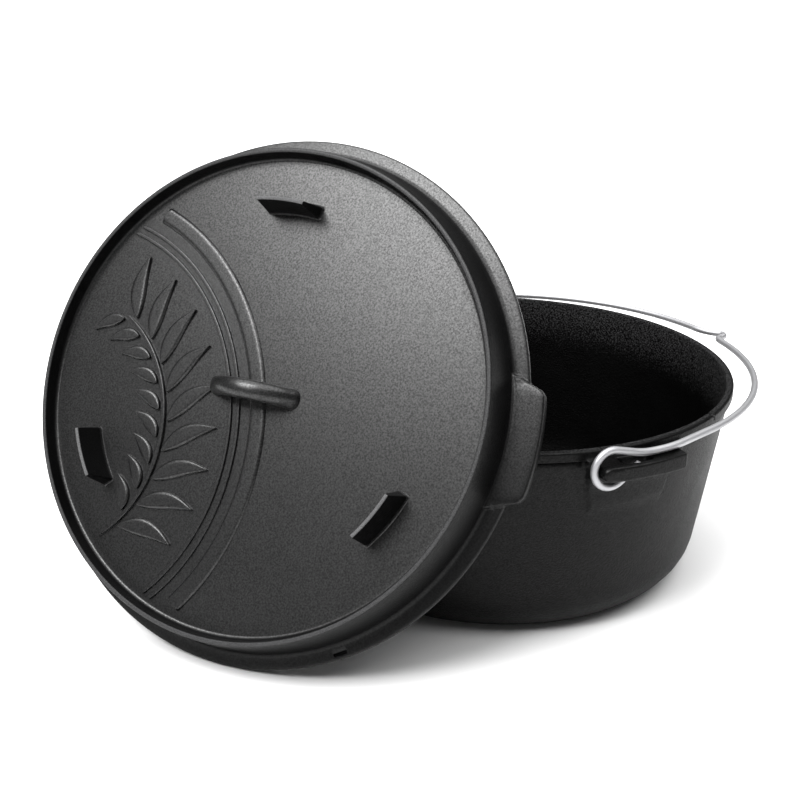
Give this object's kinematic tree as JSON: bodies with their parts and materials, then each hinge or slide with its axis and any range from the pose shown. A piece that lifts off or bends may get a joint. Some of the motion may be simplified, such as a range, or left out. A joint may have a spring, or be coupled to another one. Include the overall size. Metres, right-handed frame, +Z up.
{
  "type": "camp dutch oven",
  "caption": "Flat-bottomed cast-iron camp dutch oven with slotted ears, a swinging wire bail, and its flanged lid leaning against the rim.",
  "frame": {"origin": "centre of the pot's flat base, on the ground", "axes": "+Z up, the ears lie on the Y axis, the folded bail points along +X"},
  "size_m": [0.5377, 0.388, 0.3213],
  "materials": {
    "cast_iron": "seasoned matte black with a pebbled cast texture",
    "wire": "bright drawn wire"
  },
  "bodies": {
    "pot": {"pot": "cast_iron"},
    "lid": {"lid": "cast_iron"},
    "bail": {"bail": "wire"}
  },
  "joints": [
    {"name": "bail_swing", "type": "hinge", "parent": "pot", "child": "bail", "pos_m": [-0.0195, 0, 0.1407], "axis": [0, -1, 0], "range_deg": [0, 90]},
    {"name": "lid_lift", "type": "slide", "parent": "pot", "child": "lid", "axis": [0, 0, 1], "range_m": [0, 0.25]}
  ]
}
